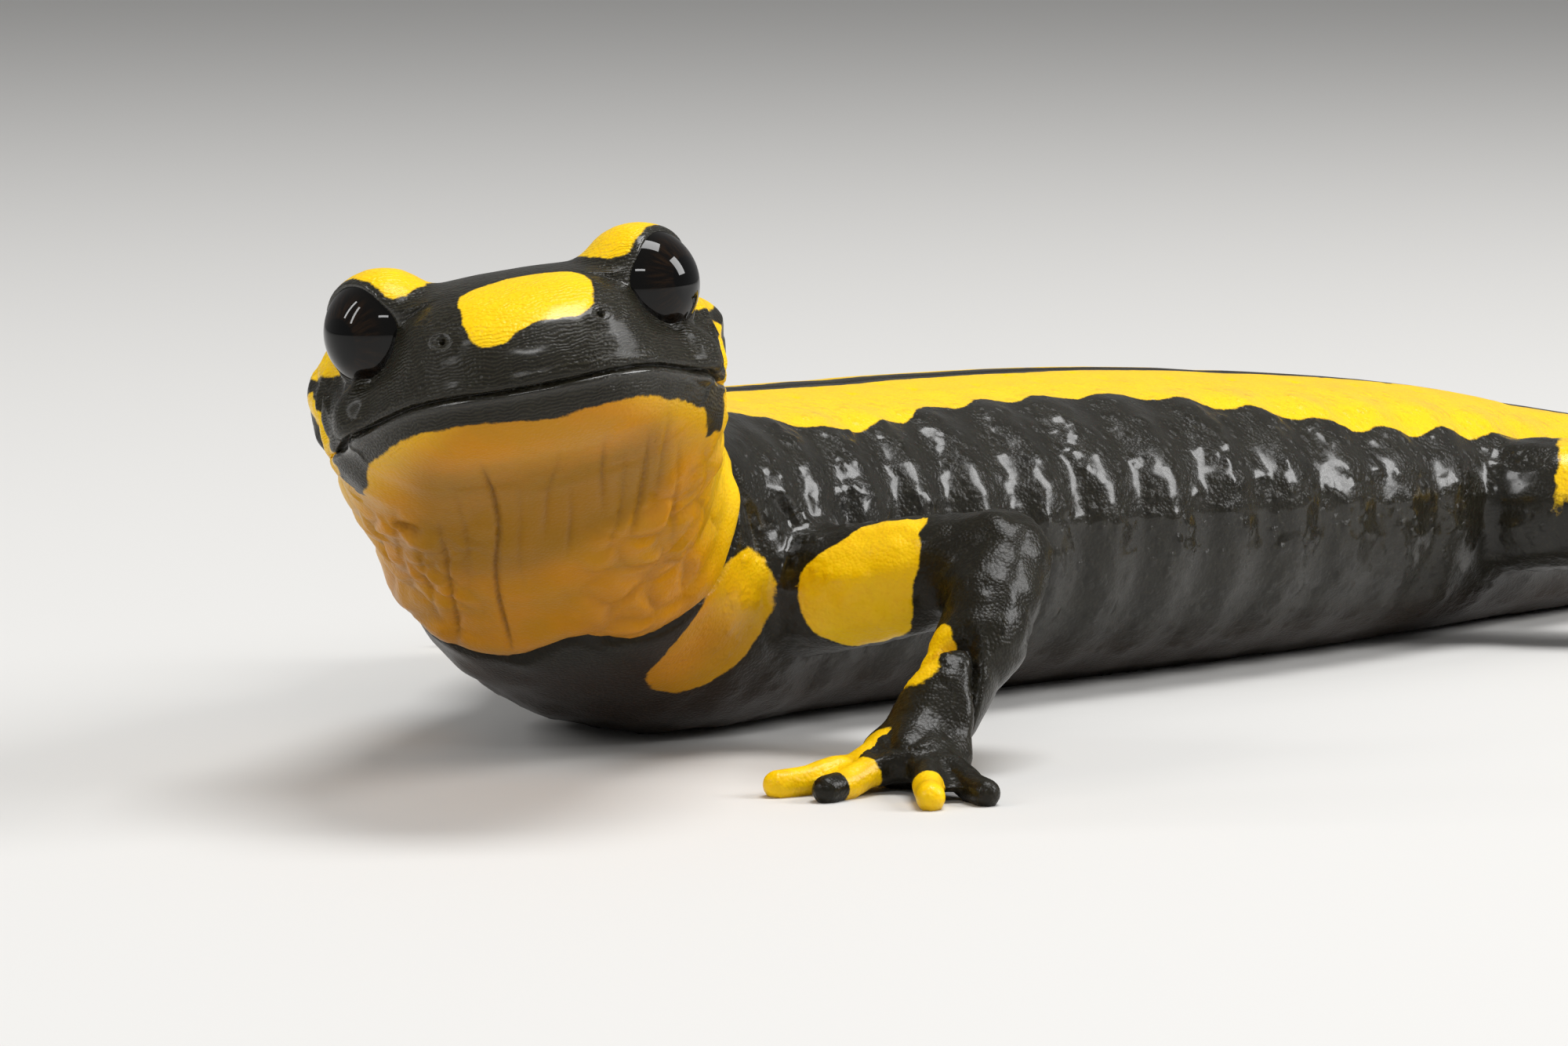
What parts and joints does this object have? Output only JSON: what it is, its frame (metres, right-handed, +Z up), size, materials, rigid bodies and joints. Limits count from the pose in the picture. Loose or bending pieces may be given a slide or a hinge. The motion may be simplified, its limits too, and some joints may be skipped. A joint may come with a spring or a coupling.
{
  "type": "fire salamander",
  "caption": "Life-size fire salamander resting on its belly and feet, head raised and turned to its left, tail curving away behind.",
  "frame": {"origin": "on the flat of the belly, at floor level, under the middle of the trunk", "axes": "+X along the trunk towards the tail, +Y to the animal's right, +Z up"},
  "size_m": [0.1781, 0.0722, 0.0296],
  "materials": {
    "skin_black": "moist, finely pebbled glossy black skin",
    "skin_yellow": "moist, satin yellow skin",
    "eye": "wet gloss, near black"
  },
  "bodies": {
    "root": {"head": "skin_black", "lower_jaw": "skin_yellow", "neck": "skin_black", "trunk_front": "skin_black", "trunk_middle": "skin_black", "trunk_rear": "skin_black", "tail_base": "skin_black", "tail_middle": "skin_black", "tail_tip": "skin_black", "eye_left": "eye", "eye_right": "eye", "upper_arm_left": "skin_yellow", "forearm_left": "skin_black", "hand_left": "skin_black", "thigh_left": "skin_yellow", "shin_left": "skin_black", "foot_left": "skin_black", "upper_arm_right": "skin_yellow", "forearm_right": "skin_black", "hand_right": "skin_black", "thigh_right": "skin_yellow", "shin_right": "skin_black", "foot_right": "skin_black"}
  },
  "joints": []
}
